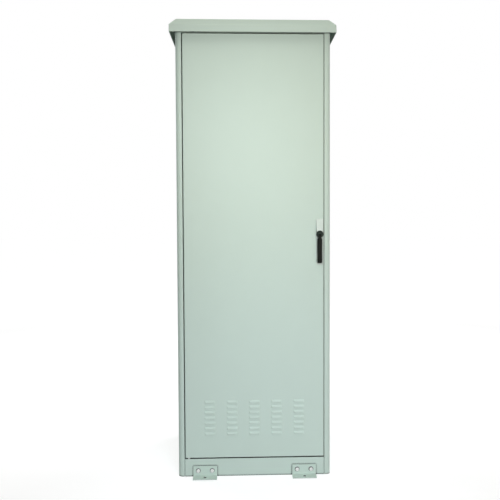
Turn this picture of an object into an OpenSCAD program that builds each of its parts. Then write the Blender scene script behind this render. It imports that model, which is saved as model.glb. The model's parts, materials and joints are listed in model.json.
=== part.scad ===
// Roadside utility cabinet, millimetres.
// The front faces -Y, the ground is z = 0 and the origin is the middle of the footprint.

/* [Body] */
// Width over the corner posts
body_w = 700; // [640:1:760]
// Depth over the corner posts
body_d = 700; // [640:1:760]
// Height of the corner posts
post_h = 2024; // [1900:1:2150]
// Height of the plinth under the door
plinth_h = 81.5; // [75:0.5:95]
// Gap above and beside the door and the rear panel
door_gap = 4; // [3.5:0.5:5]
// Gap at the free edge of the door
free_gap = 2.5; // [2.5:0.5:3.5]
// Gap under the door and the rear panel
foot_gap = 5.5; // [4:0.5:6]
// Seam between a fixed panel and the posts
seam = 2; // [1.5:0.5:3]
// Thickness of the door and panel sheet
sheet_t = 2; // [1.5:0.5:2.5]
// Thickness of the plinth, header, floor and ceiling sheet
frame_t = 2.5; // [2:0.5:3]

/* [Corner posts] */
// Width of a post seen from the front
post_face = 27.5; // [25:0.5:32]
// Width of a post seen from the side
post_side = 60; // [55:1:70]
// Radius of the outer edge
post_r = 20; // [12:1:22]
// Wall of the post
post_wall = 2.5; // [2:0.5:3]
// Depth of the sealing lip behind the front face
lip_depth = 42; // [40:1:46]
// Reach of the sealing lip beside the post
lip_reach = 39.5; // [38:0.5:44]
// Depth of the side panel lip behind the side face
side_lip_depth = 20; // [16:1:22]
// Reach of the side panel lip
side_lip_reach = 30; // [28:1:36]

/* [Roof] */
// Overhang of the roof all round
roof_overhang = 25; // [20:1:35]
// Drop of the skirt below the top of the posts
skirt_drop = 4; // [2:0.5:5]
// Height of the upright skirt
skirt_h = 33; // [28:1:45]
// Width of the bevel seen from above
roof_run = 30; // [20:1:40]
// Height of the bevel
roof_rise = 30; // [20:1:40]
// Thickness of the roof sheet
roof_t = 2; // [1.5:0.5:3]
// Distance of the roof bolts from the sides of the body
roof_bolt_in = 80; // [65:1:110]
// Distance of the roof bolts from the front and rear of the body
roof_bolt_back = 100; // [80:1:130]
// Diameter of the roof bolts
roof_bolt_d = 10; // [8:1:12]

/* [Door] */
// Depth of the folded door pan
door_depth = 28; // [26:1:30]
// Width of the inner flange of the door pan
door_lip = 36; // [34:1:40]
// Outer radius of the upright door folds
bend_r = 3; // [2.5:0.5:5]
// Distance of the pivot from the hinge edge of the door
pivot_in = 16; // [15:0.5:18]
// Distance of the pivot behind the door face
pivot_back = 8; // [7.5:0.25:8.5]
// Diameter of the pivot pins
pin_d = 8; // [6:0.5:9]
// Wall of the pivot bushes
bush_wall = 1.5; // [1:0.25:1.5]
// Height of the pivot bushes
bush_h = 18; // [14:1:22]
// Width of the gasket
gasket_w = 12; // [8:0.5:12]
// Distance of the gasket from the hinge edge of the door
gasket_in = 22; // [21:0.5:23]
// Width of a door stiffener
stiffener_w = 40; // [30:1:60]
// Depth of a door stiffener
stiffener_d = 20; // [12:1:22]
// Distance of a stiffener from the middle of the door
stiffener_x = 150; // [100:1:180]

/* [Louvres] */
// Columns of louvres
louvre_cols = 5; // [3:1:5]
// Rows of louvres
louvre_rows = 7; // [3:1:8]
// Length of a louvre
louvre_l = 47; // [36:1:56]
// Height of a louvre hood
louvre_h = 12; // [10:0.5:14]
// Depth of a louvre hood
louvre_d = 4.5; // [4:0.5:6]
// Wall of a louvre hood
louvre_t = 1.5; // [1:0.25:2]
// Distance of the outer louvres from the edges of the door
louvre_in = 90; // [70:1:110]
// Distance between rows
louvre_pitch_z = 24.5; // [22:0.5:28]
// Height of the lowest louvre edge above the ground
louvre_z = 193; // [180:1:230]

/* [Filter] */
// Margin of the filter round the louvres
filter_margin = 20; // [14:1:24]
// Depth of the filter tray
filter_d = 20; // [16:1:22]
// Thickness of the filter mat
filter_mat_t = 12; // [8:0.5:13]
// Width of the bars of the filter tray
filter_bar = 10; // [6:1:14]

/* [Handle] */
// Distance of the handle axis from the lock edge of the door
handle_in = 17.5; // [17.5:0.25:20]
// Height of the handle axis above the ground
handle_z = 1114.5; // [1000:0.5:1200]
// Width of the handle pan
pan_w = 34; // [32:0.5:34]
// Reach of the pan above the handle axis
pan_up = 70.5; // [66:0.5:90]
// Reach of the pan below the handle axis
pan_down = 139.5; // [137:0.5:160]
// Thickness of the pan flange on the door
pan_t = 4; // [3.5:0.25:4]
// Depth of the tub behind the door face
tub_d = 9; // [7:0.5:9.5]
// Height of the wedge above the pan flange
wedge_h = 13; // [10:0.5:14]
// Diameter of the handle head
head_d = 32; // [30:0.5:33]
// Thickness of the handle head
head_t = 15.5; // [15:0.25:18]
// Diameter of the spindle
spindle_d = 8; // [7:0.5:9]
// Width of the lever
lever_w = 20.5; // [18:0.5:22]
// Reach of the lever tip below the handle axis
lever_l = 131.5; // [120:0.5:134]
// Thickness of the lever
lever_t = 12; // [11:0.25:12.5]
// Width of the lever tongue in the head
tongue_w = 12; // [10:0.5:13]
// Distance of the lever pin below the handle axis
lever_pin_drop = 6; // [5:0.25:6.5]
// Diameter of the lever pin
lever_pin_d = 4; // [3:0.25:4.5]

/* [Lock] */
// Module of the pinion and the racks
gear_m = 1; // [0.9:0.05:1]
// Teeth of the pinion, an even number
gear_teeth = 16; // [14:2:16]
// Thickness of the pinion
pinion_t = 6; // [5:0.25:6.5]
// Play on each tooth flank
backlash = 0.15; // [0.1:0.05:0.2]
// Width of the rods
rod_w = 14; // [12:0.5:15]
// Thickness of the rods and racks
rod_t = 4; // [3:0.25:4.5]
// Reach of the rods beyond the door edges
rod_out = 1.2; // [0.5:0.1:1.6]
// Turn of the handle in degrees
handle_turn = 90; // [80:1:90]
// Diameter of the lock bosses
boss_d = 9; // [8:0.5:9]
// Distance of the lock bosses above and below the handle axis
boss_z = 22; // [21:0.5:26]

/* [Anchor brackets] */
// Distance of the middle of a bracket from the side of the body
bracket_in = 122; // [100:1:170]
// Width of a bracket
bracket_w = 110; // [100:1:130]
// Height of the bracket upright
bracket_up = 49; // [45:1:60]
// Reach of the bracket flange from the plinth face
bracket_out = 52; // [45:1:70]
// Thickness of a bracket
bracket_t = 5; // [4:0.5:6]
// Radius inside the bracket fold
bracket_r = 5; // [3:0.5:8]
// Diameter of the anchor hole
anchor_d = 14; // [10:1:18]
// Distance of the anchor hole from the plinth face
anchor_out = 33; // [28:1:36]
// Distance between the two bracket bolts
bracket_bolt_pitch = 64; // [50:1:76]
// Height of the bracket bolts
bracket_bolt_z = 28; // [26:0.5:32]
// Diameter of the bracket bolts
bracket_bolt_d = 10; // [8:1:12]

/* [Equipment] */
// Distance of a row of rail holes from the side of the body
rail_in = 117.45; // [115:0.05:125]
// Distance of a row of rail holes from the edge of the rail
rail_hole_edge = 7.15; // [6:0.05:9]
// Pitch of the rail holes
rail_pitch = 44.45; // [40:0.05:50]
// Diameter of the rail holes
rail_hole_d = 7; // [6.5:0.1:7.5]
// Width of the rail face
rail_face = 40; // [34:1:44]
// Depth of the rail web
rail_web = 40; // [30:1:60]
// Thickness of the rails and the shelf
rail_t = 2; // [1.5:0.5:2.5]
// Distance of the rail faces behind the front and rear of the body
rail_back = 120; // [110:1:150]
// Height of a rail brace
brace_h = 40; // [30:1:50]
// Wall of a rail brace
brace_t = 2; // [1.5:0.5:3]
// Height of the lower brace
brace_low_z = 320; // [280:1:420]
// Distance of the upper brace below the top of the posts
brace_top = 324; // [260:1:450]
// Rail hole that the shelf starts at
shelf_hole = 13; // [11:1:16]
// Height of the shelf ears
shelf_h = 44; // [40:0.5:44]

/* [Floor and ceiling] */
// Width of the cable cut-out in the floor
cable_w = 200; // [190:1:205]
// Depth of the cable cut-out in the floor
cable_d = 140; // [130:1:200]
// Overlap of the gland plate round the cut-out
gland_lap = 20; // [14:1:30]
// Thickness of the gland plate
gland_t = 3; // [2:0.5:4]
// Diameter of the cable holes
gland_d = 50; // [40:1:52]
// Distance between the cable holes
gland_pitch = 64; // [60:1:66]
// Length of the earth bar
earth_l = 320; // [240:1:400]
// Thickness of the earth bar
earth_t = 5; // [4:0.5:6]
// Side of a fan frame
fan_side = 120; // [110:1:130]
// Depth of a fan frame
fan_h = 38; // [34:1:42]
// Diameter of the fan duct
fan_bore = 112; // [100:1:114]
// Distance of a fan from the middle
fan_x = 110; // [90:1:140]
// Blades of a fan rotor
fan_blades = 7; // [5:1:9]

/* [Hidden] */
$fn = 48;

// Clearances
running_fit = 0.05;   // radial play of a pin in its bush
bolt_play = 0.5;      // radial play of a bolt in its hole
slide_play = 0.4;     // play of a rod in its guide
near_fit = 0.3;       // gap between pieces that pass or press lightly
press_fit = 0.02;     // radial gap of the pinion on its spindle
lock_gap = 1.5;       // gap in front of and behind the pinion
cut = 1;              // overrun of a cutting solid

// Colours
mint = "#bccabe";
pan_grey = "#c3c6c2";
steel = "#b4b7ba";
zinc = "#cfd2d4";
black = "#26282a";
rubber = "#1d1d1e";
copper = "#b0764a";
mat_white = "#d9dad5";
nylon = "#3a3c3e";

// Body lines
front_y = -body_d/2;
door_edge_x = body_w/2 - post_face - door_gap;
door_w = 2*door_edge_x;
free_out = door_gap - free_gap;
door_z0 = plinth_h + foot_gap;
door_z1 = post_h - frame_t - door_gap;
door_h = door_z1 - door_z0;
lip_y = front_y + lip_depth;
lip_edge_x = body_w/2 - post_face - lip_reach;
inner_w = 2*(lip_edge_x - near_fit);
end_l = 2*(body_w/2 - post_face - seam);
sill_h = 25;
header_lip = 34;
side_half = body_d/2 - post_side;
side_lip_edge = side_half - side_lip_reach;

// Pivot of the door
pivot_x = -door_edge_x + pivot_in;
pivot_y = front_y + pivot_back;
bush_d = pin_d + 2*running_fit + 2*bush_wall;

// Handle and lock
handle_x = door_edge_x - handle_in;
pan_front = front_y - pan_t;
tub_back = front_y + tub_d;
head_gap = 0.5;
head_back = pan_front - head_gap;
head_front = head_back - head_t;
lever_gap = 1.5;
lever_back = pan_front - lever_gap;
lever_front = lever_back - lever_t;
lever_pin_y = (lever_back + lever_front)/2;
lever_pin_z = handle_z - lever_pin_drop;
tongue_r = 5;
pinion_y0 = tub_back + lock_gap;
pinion_y1 = pinion_y0 + pinion_t;
rod_y = (pinion_y0 + pinion_y1)/2;
plate_y0 = pinion_y1 + lock_gap;
plate_t = 2.5;
plate_y1 = plate_y0 + plate_t;
pitch_r = gear_m*gear_teeth/2;
rack_pitch = PI*gear_m;
pressure_angle = 20;
pinion_tip = 0.95;
tooth_root = 1.25;
rack_tip = 0.85;
rack_addendum = rack_tip*gear_m;
rack_dedendum = tooth_root*gear_m;
rack_back = 3.5;
rack_teeth = 9;
rod_travel = pitch_r*handle_turn*PI/180;
rack_half = rack_teeth*rack_pitch/2;
rod_past = 2;
rod_start = boss_z + boss_d/2 + rod_travel + rod_past;
rod_outer = pitch_r + rack_dedendum + rack_back;
rod_mid_x = rod_outer - rod_w/2;
rod_slot = [rod_w + 2*slide_play, rod_t + 2*slide_play];
guide_near = 250;
guide_end = 200;

// Handle pan
tub_w = 27;
tub_up = 30;
tub_down = pan_down - 5;
tub_r = 4;
tub_wall = 2;
boss_bore = 4.2;
wedge_lap = 4;
wedge_flat = 9;
wedge_inset = 2;
lever_groove_d = 5;
lever_groove_end = 15;
lever_edge_r = 4;
shoulder_gap = 2;

// Door gasket
gasket_t = lip_depth - door_depth - near_fit;
gasket_x = door_edge_x - gasket_in;
gasket_edge = 3;
gasket_z0 = plinth_h + sill_h - gasket_w - gasket_edge;
gasket_z1 = post_h - header_lip + gasket_w + gasket_edge;

// Filter behind the louvres
louvre_pitch_x = (door_w - 2*louvre_in - louvre_l)/(louvre_cols - 1);
filter_x = door_edge_x - louvre_in + filter_margin;
filter_z0 = louvre_z - filter_margin;
filter_z1 = louvre_z + (louvre_rows - 1)*louvre_pitch_z + louvre_h + filter_margin;
filter_wall = 1.5;

// Roof bolts and brackets
roof_bolt_x = body_w/2 - roof_bolt_in;
roof_bolt_y = body_d/2 - roof_bolt_back;
roof_boss_wall = 5;
roof_bolt_reach = 30;
bracket_x = body_w/2 - bracket_in;

// Equipment
rail_hole_x = body_w - 2*rail_in;
rail_edge_x = rail_hole_x/2 - rail_hole_edge;
rail_web_x = rail_edge_x + rail_face;
rail_y = body_d/2 - rail_back;
brace_high_z = post_h - brace_top;
shelf_side_play = 2;
shelf_ear_edge = 9;
earth_hole_end = 20;
brace_x = body_w/2 - side_lip_depth - post_wall;
floor_top = plinth_h;
floor_lip = 20;
cable_y = 40;
gland_places = [for (x = [-1, 0, 1], y = [-0.5, 0.5]) [x*gland_pitch, cable_y + y*gland_pitch]];
rail_end = 20;
rail_z0 = floor_top + rail_end;
rail_z1 = post_h - fan_h - rail_end;
rail_margin = 30;
rail_first = rail_z0 + rail_margin;
rail_holes = floor((rail_z1 - rail_first - rail_hole_d)/rail_pitch) + 1;
shelf_bolt_z = rail_first + shelf_hole*rail_pitch;
shelf_z = shelf_bolt_z - shelf_h/2;
rail_bolt_d = 6;
fan_hub_r = 22;
fan_shaft_d = 6;
fan_plate_t = 4;
fan_tip_gap = 2;
panel_screw_d = 5;
panel_screw_low = 200;
panel_screw_top = 130;
panel_screw_z = [panel_screw_low, post_h/2, post_h - panel_screw_top];
keeper_t = 4;

// Hex fasteners, as shares of the shank diameter
hex_across_share = 1.85;
hex_head_share = 0.65;
hex_nut_share = 0.8;
washer_share = 2.1;
bolt_past = 3;
washer_t = 2;

// 2D and placing helpers
module quarter_disc(r) {
    intersection() {
        circle(r);
        square(r);
    }
}

module rounded_rect(w, h, r) {
    square([w - 2*r, h], center = true);
    square([w, h - 2*r], center = true);
    for (k = [0:3])
        translate([(k == 0 || k == 3 ? 1 : -1)*(w/2 - r), (k < 2 ? 1 : -1)*(h/2 - r)])
            rotate(90*k)
                quarter_disc(r);
}

// A block in the first quadrant whose corner at the origin is round
module round_corner_block(w, h, r) {
    translate([r, 0])
        square([w - r, h]);
    translate([0, r])
        square([r, h - r]);
    translate([r, r])
        rotate(180)
            quarter_disc(r);
}

// Drawing x and y become y and z, extruded along x about the middle
module along_x(length) {
    rotate([90, 0, 90])
        linear_extrude(length, center = true)
            children();
}

// Drawing x and y become x and z, extruded along y from y0 to y1
module along_y(y0, y1) {
    translate([0, y1, 0])
        rotate([90, 0, 0])
            linear_extrude(y1 - y0)
                children();
}

module rod_y_dir(d, y0, y1) {
    translate([0, y1, 0])
        rotate([90, 0, 0])
            cylinder(h = y1 - y0, d = d);
}

module rod_x_dir(d, x0, x1) {
    translate([x0, 0, 0])
        rotate([0, 90, 0])
            cylinder(h = x1 - x0, d = d);
}

module both_sides_x() {
    children();
    mirror([1, 0, 0])
        children();
}

module four_corners() {
    both_sides_x() {
        children();
        mirror([0, 1, 0])
            children();
    }
}

// Corner posts: a closed extrusion with a sealing lip and a side panel lip
module post_section() {
    difference() {
        union() {
            round_corner_block(post_face, post_side, post_r);
            translate([post_face - post_wall, lip_depth])
                square([lip_reach + post_wall, post_wall]);
            translate([side_lip_depth, post_side - post_wall])
                square([post_wall, side_lip_reach + post_wall]);
        }
        translate([post_wall, post_wall])
            round_corner_block(post_face - 2*post_wall, post_side - 2*post_wall, post_r - post_wall);
    }
}

module post() {
    color(mint)
        difference() {
            translate([-body_w/2, front_y, 0])
                linear_extrude(post_h)
                    post_section();
            side_screw_places()
                rod_x_dir(panel_screw_d + 2*bolt_play, -cut, post_wall + cut);
            rear_screw_places()
                rod_y_dir(panel_screw_d + 2*bolt_play, -cut, post_wall + cut);
        }
}

module post_front_left() post();
module post_front_right() mirror([1, 0, 0]) post();
module post_rear_left() mirror([0, 1, 0]) post();
module post_rear_right() mirror([0, 1, 0]) mirror([1, 0, 0]) post();

// Screw places on the left front post: its children start on the lip's outer face
module side_screw_places() {
    for (z = panel_screw_z)
        translate([-body_w/2 + side_lip_depth, -side_lip_edge - side_lip_reach/3, z])
            children();
}

module rear_screw_places() {
    for (z = panel_screw_z)
        translate([-lip_edge_x - lip_reach/3, lip_y, z])
            children();
}

// Plinth: a channel with a sill that stands up between the post lips
module plinth(face_y, full_l, inner_l, depth) {
    translate([0, face_y, 0]) {
        along_x(full_l) {
            square([frame_t, plinth_h]);
            square([depth, frame_t]);
            translate([0, plinth_h - frame_t])
                square([depth, frame_t]);
        }
        along_x(inner_l) {
            translate([depth, plinth_h - frame_t])
                square([frame_t, sill_h + frame_t]);
            translate([depth - cut, plinth_h - frame_t])
                square([frame_t, frame_t]);
        }
    }
}

module end_plinth() {
    difference() {
        plinth(front_y, end_l, inner_w, lip_depth);
        bracket_bolt_places()
            rod_y_dir(bracket_bolt_d + 2*bolt_play, -cut, frame_t + cut);
    }
}

module plinth_front() {
    color(mint)
        difference() {
            end_plinth();
            translate([pivot_x, pivot_y, plinth_h - frame_t - cut])
                cylinder(h = frame_t + 2*cut, d = pin_d + 2*running_fit);
            translate([handle_x - rod_mid_x, rod_y, plinth_h])
                cube([rod_slot.x, rod_slot.y, 2*frame_t + 2*cut], center = true);
        }
}

module plinth_rear() color(mint) mirror([0, 1, 0]) end_plinth();

module side_plinth() {
    color(mint)
        rotate(-90)
            plinth(-body_w/2, 2*(side_half - seam), 2*(side_lip_edge - near_fit), side_lip_depth);
}

module plinth_left() side_plinth();
module plinth_right() mirror([1, 0, 0]) side_plinth();

// Header: a flange over the door with a sealing lip between the post lips
module header() {
    header_front_gap = 1;
    translate([0, front_y, post_h - frame_t]) {
        along_x(end_l)
            translate([header_front_gap, 0])
                square([lip_depth - header_front_gap, frame_t]);
        along_x(inner_w) {
            translate([lip_depth - cut, 0])
                square([frame_t + cut, frame_t]);
            translate([lip_depth, frame_t - header_lip])
                square([frame_t, header_lip]);
        }
    }
}

module header_front() {
    color(mint)
        difference() {
            header();
            translate([pivot_x, pivot_y, post_h - frame_t - cut])
                cylinder(h = frame_t + 2*cut, d = pin_d + 2*running_fit);
            translate([handle_x + rod_mid_x, rod_y, post_h - frame_t/2])
                cube([rod_slot.x, rod_slot.y, frame_t + 2*cut], center = true);
        }
}

module header_rear() color(mint) mirror([0, 1, 0]) header();

// A folded pan: sheet on the front, returns on four sides and an inner flange
module pan_sheet(w, h, depth, lip) {
    difference() {
        linear_extrude(h)
            for (m = [0, 1])
                mirror([m, 0])
                    translate([-w/2, 0])
                        round_corner_block(w/2, depth, bend_r);
        translate([-w/2 + sheet_t, sheet_t, sheet_t])
            cube([w - 2*sheet_t, depth - 2*sheet_t, h - 2*sheet_t]);
        translate([-w/2 + lip, depth - sheet_t - cut, lip])
            cube([w - 2*lip, sheet_t + 2*cut, h - 2*lip]);
    }
}

// Side panel: its inner flange bears on the side lips of the posts
module side_panel() {
    panel_w = 2*(side_half - seam);
    panel_z0 = plinth_h + seam;
    color(mint)
        difference() {
            translate([-body_w/2, 0, panel_z0])
                rotate(-90)
                    pan_sheet(panel_w, post_h - seam - panel_z0, side_lip_depth, side_lip_reach - seam);
            for (m = [0, 1])
                mirror([0, m, 0])
                    side_screw_places()
                        rod_x_dir(panel_screw_d + 2*bolt_play, -sheet_t - cut, cut);
        }
}

module side_panel_left() side_panel();
module side_panel_right() mirror([1, 0, 0]) side_panel();

module rear_panel() {
    color(mint)
        mirror([0, 1, 0])
            difference() {
                translate([0, front_y, door_z0])
                    pan_sheet(door_w, door_h, lip_depth, door_lip);
                both_sides_x()
                    rear_screw_places()
                        rod_y_dir(panel_screw_d + 2*bolt_play, -sheet_t - cut, cut);
            }
}

// Panel screws: head on the lip's inner face, shank through the lip and the panel flange
module panel_screw() {
    head_h = 3;
    grip = post_wall + sheet_t + bolt_past;
    cylinder(h = head_h, d1 = 2*panel_screw_d, d2 = 1.5*panel_screw_d);
    translate([0, 0, -grip])
        cylinder(h = grip + cut, d = panel_screw_d);
}

module panel_screws() {
    color(zinc) {
        four_corners()
            side_screw_places()
                translate([post_wall, 0, 0])
                    rotate([0, 90, 0])
                        panel_screw();
        mirror([0, 1, 0])
            both_sides_x()
                rear_screw_places()
                    translate([0, post_wall, 0])
                        rotate([-90, 0, 0])
                            panel_screw();
    }
}

// Floor tray between the sills, with a cable cut-out under the gland plate
module floor_plate() {
    half_x = body_w/2 - post_face - near_fit;
    half_y = -lip_y - frame_t;
    color(steel)
        difference() {
            translate([-half_x, -half_y, plinth_h - frame_t])
                cube([2*half_x, 2*half_y, frame_t + floor_lip]);
            translate([-half_x - cut, -half_y + frame_t, plinth_h])
                cube([2*half_x + 2*cut, 2*half_y - 2*frame_t, floor_lip + cut]);
            translate([-cable_w/2, cable_y - cable_d/2, plinth_h - frame_t - cut])
                cube([cable_w, cable_d, frame_t + 2*cut]);
        }
}

module gland_plate() {
    corner_r = 6;
    color(steel)
        difference() {
            translate([0, cable_y, floor_top])
                linear_extrude(gland_t)
                    rounded_rect(cable_w + 2*gland_lap, cable_d + 2*gland_lap, corner_r);
            for (p = gland_places)
                translate([p.x, p.y, floor_top - cut])
                    cylinder(h = gland_t + 2*cut, d = gland_d);
        }
}

// Closed grommets snapped into the gland plate
module gland_grommets() {
    rim = 4;
    rim_h = 3;
    color(rubber)
        for (p = gland_places)
            translate([p.x, p.y, floor_top])
                rotate_extrude() {
                    square([gland_d/2 - running_fit, gland_t]);
                    translate([0, gland_t])
                        square([gland_d/2 + rim, rim_h]);
                    translate([0, -rim_h])
                        square([gland_d/2 + rim, rim_h]);
                }
}

// Ceiling plate on the headers and posts, with the fan outlets
module ceiling_plate() {
    half_x = body_w/2 - post_wall;
    seat = 10;
    half_y = -lip_y + seat;
    color(steel)
        difference() {
            translate([-half_x, -half_y, post_h])
                cube([2*half_x, 2*half_y, frame_t]);
            for (s = [-1, 1])
                translate([s*fan_x, 0, post_h - cut])
                    cylinder(h = frame_t + 2*cut, d = fan_bore);
            roof_bolt_places()
                translate([0, 0, post_h - cut])
                    cylinder(h = frame_t + 2*cut, d = roof_bolt_d + 2*bolt_play);
        }
}

module roof_bolt_places() {
    for (sx = [-1, 1], sy = [-1, 1])
        translate([sx*roof_bolt_x, sy*roof_bolt_y, 0])
            children();
}

// Roof cap: a bevelled lid with hips, open below, and four welded bosses
module roof_outline(half, inset) {
    z0 = post_h - skirt_drop;
    z1 = z0 + skirt_h;
    z2 = z1 + roof_rise;
    slope = atan2(roof_rise, roof_run);
    wall_top = z1 - inset*tan((90 - slope)/2);
    low = inset > 0 ? z0 - cut : z0;
    a = half - inset;
    b = half - roof_run - inset*tan(slope/2);
    polygon([[-a, low], [a, low], [a, wall_top], [b, z2 - inset], [-b, z2 - inset], [-a, wall_top]]);
}

module roof_solid(inset) {
    intersection() {
        along_x(2*body_w)
            roof_outline(body_d/2 + roof_overhang, inset);
        along_y(-body_d, body_d)
            roof_outline(body_w/2 + roof_overhang, inset);
    }
}

module roof_cap() {
    boss_z0 = post_h + frame_t;
    boss_z1 = post_h - skirt_drop + skirt_h + roof_rise - roof_t/2;
    color(mint) {
        difference() {
            union() {
                difference() {
                    roof_solid(0);
                    roof_solid(roof_t);
                }
                roof_bolt_places()
                    translate([0, 0, boss_z0])
                        cylinder(h = boss_z1 - boss_z0, d = roof_bolt_d + 2*roof_boss_wall);
            }
            roof_bolt_places()
                translate([0, 0, boss_z0 - cut])
                    cylinder(h = boss_z1 - boss_z0 - roof_t + cut, d = roof_bolt_d + 2*running_fit);
        }
    }
}

// Hex bolt pointing up, its head below z = 0
module bolt_up(d, shank) {
    translate([0, 0, -hex_head_share*d])
        cylinder(h = hex_head_share*d, d = hex_across_share*d, $fn = 6);
    translate([0, 0, -cut])
        cylinder(h = shank + cut, d = d);
}

module roof_bolts() {
    color(zinc)
        roof_bolt_places()
            translate([0, 0, post_h])
                bolt_up(roof_bolt_d, frame_t + roof_bolt_reach);
}

// Anchor brackets: folded plate with a rounded inside corner
module bracket() {
    color(mint)
        difference() {
            translate([bracket_x, front_y, 0])
                along_x(bracket_w) {
                    translate([-bracket_t, 0])
                        square([bracket_t, bracket_up]);
                    translate([-bracket_out, 0])
                        square([bracket_out, bracket_t]);
                    translate([-bracket_t - bracket_r, bracket_t])
                        difference() {
                            square([bracket_r + cut, bracket_r]);
                            translate([0, bracket_r])
                                circle(bracket_r);
                        }
                }
            right_bolt_places()
                rod_y_dir(bracket_bolt_d + 2*bolt_play, -bracket_t - cut, cut);
            translate([bracket_x, front_y - anchor_out, -cut])
                cylinder(h = bracket_t + 2*cut, d = anchor_d);
        }
}

module bracket_front_right() bracket();
module bracket_front_left() mirror([1, 0, 0]) bracket();
module bracket_rear_right() mirror([0, 1, 0]) bracket();
module bracket_rear_left() mirror([0, 1, 0]) mirror([1, 0, 0]) bracket();

// Places of the bolts of the right front bracket, on the plinth face
module right_bolt_places() {
    for (s = [-1, 1])
        translate([bracket_x + s*bracket_bolt_pitch/2, front_y, bracket_bolt_z])
            children();
}

module bracket_bolt_places() {
    both_sides_x()
        right_bolt_places()
            children();
}

// Washer, hex head, shank and nut as one fastened set
module bracket_bolt() {
    d = bracket_bolt_d;
    nut_h = hex_nut_share*d;
    rod_y_dir(washer_share*d, -bracket_t - washer_t, -bracket_t);
    translate([0, -bracket_t - washer_t, 0])
        rotate([90, 0, 0])
            cylinder(h = hex_head_share*d, d = hex_across_share*d, $fn = 6);
    rod_y_dir(d, -bracket_t - washer_t - cut, frame_t + nut_h + bolt_past);
    translate([0, frame_t + nut_h, 0])
        rotate([90, 0, 0])
            cylinder(h = nut_h, d = hex_across_share*d, $fn = 6);
}

module bracket_bolts() {
    color(zinc)
        four_corners()
            right_bolt_places()
                bracket_bolt();
}

// Equipment rails: an angle with one row of holes in its face
module rail() {
    color(steel)
        difference() {
            translate([0, 0, rail_z0])
                linear_extrude(rail_z1 - rail_z0) {
                    translate([rail_edge_x, -rail_y])
                        square([rail_face, rail_t]);
                    translate([rail_web_x - rail_t, -rail_y])
                        square([rail_t, rail_web]);
                }
            for (k = [0:rail_holes - 1])
                translate([rail_hole_x/2, -rail_y, rail_first + k*rail_pitch])
                    rod_y_dir(rail_hole_d, -cut, rail_t + cut);
            brace_bolt_places()
                rod_x_dir(rail_bolt_d + 2*bolt_play, -rail_t - cut, cut);
        }
}

module rail_front_right() rail();
module rail_front_left() mirror([1, 0, 0]) rail();
module rail_rear_right() mirror([0, 1, 0]) rail();
module rail_rear_left() mirror([0, 1, 0]) mirror([1, 0, 0]) rail();

// Bolts of the right front rail: the origin is on the outer face of its web
module brace_bolt_places() {
    for (z = [brace_low_z, brace_high_z])
        translate([rail_web_x, -rail_y + rail_web/2, z])
            children();
}

// Braces: closed tubes from the post lips to the rail webs
module rail_braces() {
    brace_w = brace_x - rail_web_x;
    color(steel)
        difference() {
            for (z = [brace_low_z, brace_high_z])
                translate([rail_web_x + brace_w/2, 0, z])
                    along_y(-side_half, side_half)
                        difference() {
                            square([brace_w, brace_h], center = true);
                            square([brace_w - 2*brace_t, brace_h - 2*brace_t], center = true);
                        }
            for (m = [0, 1])
                mirror([0, m, 0])
                    brace_bolt_places()
                        rod_x_dir(rail_bolt_d + 2*bolt_play, -cut, brace_t + cut);
        }
}

module rail_braces_right() rail_braces();
module rail_braces_left() mirror([1, 0, 0]) rail_braces();

// Bolts through the rail webs into the braces, and through the shelf ears into the rails
module rail_bolts() {
    color(zinc)
        four_corners() {
            brace_bolt_places()
                translate([-rail_t, 0, 0])
                    rotate([0, 90, 0])
                        bolt_up(rail_bolt_d, rail_t + brace_t + rail_bolt_d);
            translate([rail_hole_x/2, -rail_y - rail_t, shelf_bolt_z])
                rotate([-90, 0, 0])
                    bolt_up(rail_bolt_d, 2*rail_t + rail_bolt_d);
        }
}

// Shelf: flat top, flanges turned down, ears on the rail faces at both ends
module equipment_shelf() {
    half_x = rail_edge_x - shelf_side_play;
    ear_x = rail_hole_x/2 + shelf_ear_edge;
    color(steel)
        difference() {
            union() {
                translate([-half_x, -rail_y, shelf_z])
                    cube([2*half_x, 2*rail_y, shelf_h]);
                for (s = [-1, 1])
                    translate([-ear_x, s*(rail_y + rail_t/2) - rail_t/2, shelf_z])
                        cube([2*ear_x, rail_t, shelf_h]);
            }
            translate([-half_x + rail_t, -rail_y, shelf_z - cut])
                cube([2*half_x - 2*rail_t, 2*rail_y, shelf_h - rail_t + cut]);
            four_corners()
                translate([rail_hole_x/2, -rail_y - rail_t, shelf_bolt_z])
                    rod_y_dir(rail_bolt_d + 2*bolt_play, -cut, rail_t + cut);
        }
}

// Earth bar: a raised bar with joggled feet and a row of holes
module earth_bar() {
    foot = 24;
    rise = 22;
    bar_w = 20;
    from_lip = 60;
    bar_y = -lip_y - from_lip;
    holes = 8;
    hole_d = 9;
    hole_span = earth_l - 2*earth_hole_end;
    foot_hole_d = 7;
    color(copper)
        translate([0, bar_y, floor_top])
            difference() {
                union() {
                    translate([-earth_l/2, -bar_w/2, rise])
                        cube([earth_l, bar_w, earth_t]);
                    for (m = [0, 1])
                        mirror([m, 0, 0])
                            translate([earth_l/2 - earth_t, -bar_w/2, 0]) {
                                cube([earth_t, bar_w, rise + earth_t]);
                                cube([foot, bar_w, earth_t]);
                            }
                }
                for (k = [0:holes - 1])
                    translate([(k - (holes - 1)/2)*hole_span/holes, 0, rise - cut])
                        cylinder(h = earth_t + 2*cut, d = hole_d);
                for (s = [-1, 1])
                    translate([s*(earth_l/2 + foot/2), 0, -cut])
                        cylinder(h = earth_t + 2*cut, d = foot_hole_d);
            }
}

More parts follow.
